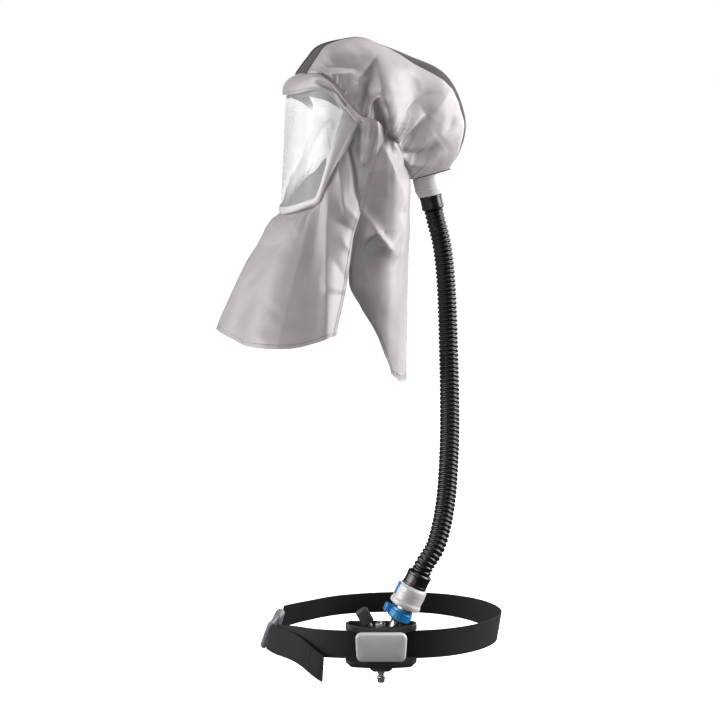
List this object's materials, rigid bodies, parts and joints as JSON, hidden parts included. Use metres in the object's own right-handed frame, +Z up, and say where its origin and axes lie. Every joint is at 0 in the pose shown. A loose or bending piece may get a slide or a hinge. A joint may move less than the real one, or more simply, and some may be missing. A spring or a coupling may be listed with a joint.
{
  "type": "air-fed respirator hood",
  "caption": "Grey coated-cloth respirator hood with a bent clear visor and shoulder cape, fed by a corrugated hose from an air regulator on a webbing waist belt.",
  "frame": {"origin": "where the crown of the wearer's head sits inside the hood", "axes": "+Z up, the wearer faces -Y and +X is the wearer's left"},
  "size_m": [0.4057, 0.5171, 1.1306],
  "materials": {
    "coated_cloth": "light grey coated cloth, softly satin",
    "ribbed_cloth": "darker grey stretch cloth with fine ribs",
    "clear_visor": "clear bent plastic sheet",
    "frame_vinyl": "pale soft vinyl strip",
    "white_plastic": "moulded white plastic",
    "black_rubber": "glossy black rubber",
    "black_plastic": "moulded black plastic",
    "grey_plastic": "moulded grey plastic",
    "blue_plastic": "moulded blue plastic",
    "steel": "turned plated steel",
    "webbing": "black woven webbing"
  },
  "bodies": {
    "hood": {"crown_left": "coated_cloth", "crown_right": "coated_cloth", "crown_gusset": "ribbed_cloth", "inlet_panel": "coated_cloth", "brow_band": "coated_cloth", "brow_facing": "ribbed_cloth", "visor": "clear_visor", "visor_frame": "frame_vinyl", "chin_collar": "coated_cloth", "bib": "coated_cloth", "nape_flap": "coated_cloth", "inlet_connector": "white_plastic", "upper_cuff": "black_rubber", "breathing_hose": "black_rubber", "lower_cuff": "black_rubber", "hose_coupling": "white_plastic", "grip_inlay": "blue_plastic", "outlet_stem": "steel", "outlet_nut": "steel", "regulator_housing": "black_plastic", "regulator_cover": "grey_plastic", "knob_stem": "steel", "inlet_nipple": "steel", "waist_belt": "webbing", "belt_tail": "webbing", "buckle_frame": "grey_plastic", "buckle_tongue": "grey_plastic"},
    "flow_knob": {"flow_knob": "black_rubber"},
    "locking_ring": {"locking_ring": "blue_plastic"}
  },
  "joints": [
    {"name": "flow_knob_turn", "type": "hinge", "parent": "hood", "child": "flow_knob", "pos_m": [0.1611, -0.0556, -0.996], "axis": [-0.1294, -0.483, 0.866], "range_deg": [0, 270]},
    {"name": "locking_ring_turn", "type": "hinge", "parent": "hood", "child": "locking_ring", "pos_m": [0.1743, -0.00633, -0.9885], "axis": [0.1135, 0.4234, 0.8988], "range_deg": [0, 45]}
  ]
}
